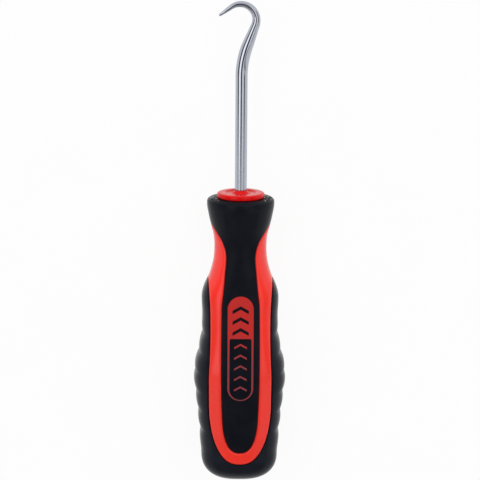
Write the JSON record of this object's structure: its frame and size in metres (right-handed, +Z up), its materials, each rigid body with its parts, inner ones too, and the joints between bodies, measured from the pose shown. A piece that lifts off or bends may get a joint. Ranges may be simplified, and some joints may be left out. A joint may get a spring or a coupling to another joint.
{
  "type": "bent hook tool",
  "caption": "Hand pick for pulling seals and rings: a tapered steel hook on an offset shank, in a red and black two-material handle with ridged sides.",
  "frame": {"origin": "on the surface that the tool lies on, under the middle of its length and width", "axes": "+Y along the handle towards the hook, +Z up out of the handle's front face, the hook's tip turned towards -X"},
  "size_m": [0.0306, 0.162, 0.0253],
  "materials": {
    "steel": "satin plated",
    "red_core": "semi-gloss moulded",
    "nose_rubber": "fine matt",
    "palm_rubber": "fine matt"
  },
  "bodies": {
    "root": {"hook_shank": "steel", "handle_core": "red_core", "nose_grip": "nose_rubber", "palm_grip": "palm_rubber"}
  },
  "joints": []
}
